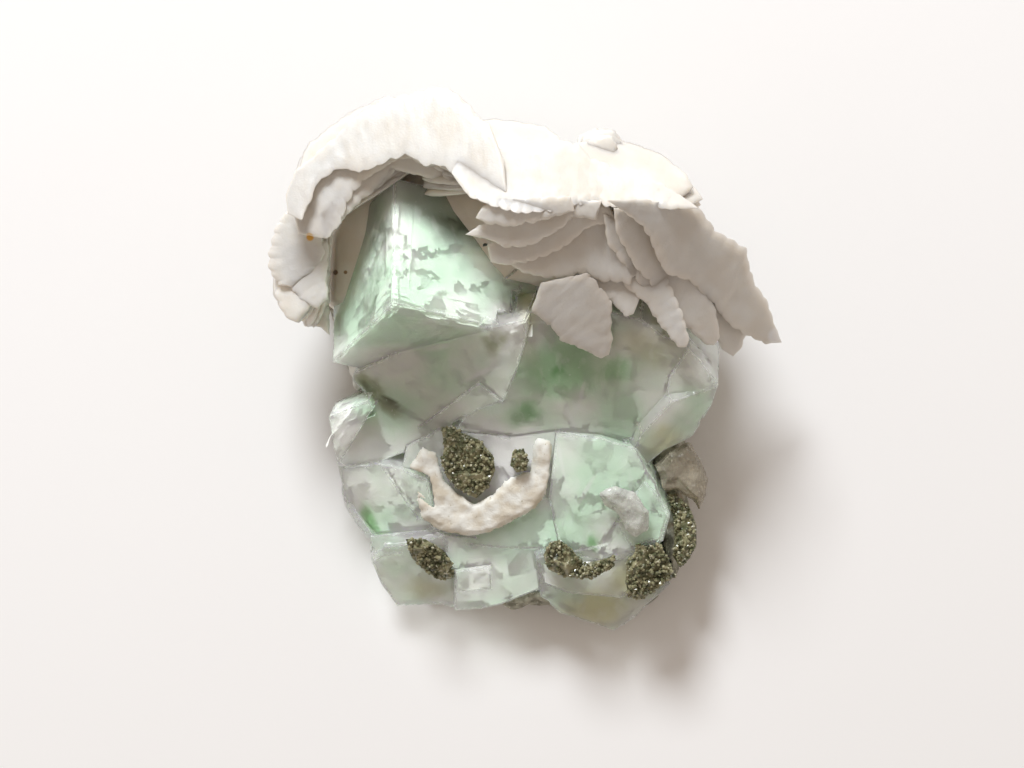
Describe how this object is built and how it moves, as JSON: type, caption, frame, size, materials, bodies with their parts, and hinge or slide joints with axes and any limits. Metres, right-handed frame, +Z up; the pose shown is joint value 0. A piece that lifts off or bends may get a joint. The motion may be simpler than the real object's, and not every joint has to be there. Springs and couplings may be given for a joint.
{
  "type": "fluorite specimen",
  "caption": "Mineral specimen: intergrown pale green fluorite cubes with cream bladed calcite fans, olive druse, chalky crust and a granular flat-bottomed matrix.",
  "frame": {"origin": "centre of the bounding box seen from above, at the height of the flat underside that the specimen lies on", "axes": "+Z up, away from the surface and towards the viewer of the picture; +Y along the longest side, from the narrow foot of the fluorite towards the calcite crown; +X to the right in the picture, towards the calcite fan's long tips"},
  "size_m": [0.0704, 0.0747, 0.0388],
  "materials": {
    "fluorite": "glassy, milky translucent pale green crystal",
    "calcite": "satin, waxy cream blades",
    "matrix": "rough granular grey-green rock",
    "druse": "glinting dark olive micro-crystals",
    "crust": "dry chalky white crust",
    "clear_crystal": "small whitish clear crystal",
    "smoky_quartz": "smoky grey-brown translucent lump"
  },
  "bodies": {
    "root": {"fluorite_cluster": "fluorite", "calcite_blades": "calcite", "matrix": "matrix", "druse_centre": "druse", "druse_small": "druse", "druse_front_left": "druse", "druse_curled": "druse", "druse_front_right": "druse", "druse_right_edge": "druse", "chalky_crust": "crust", "clear_crystal": "clear_crystal", "smoky_lump": "smoky_quartz"}
  },
  "joints": []
}
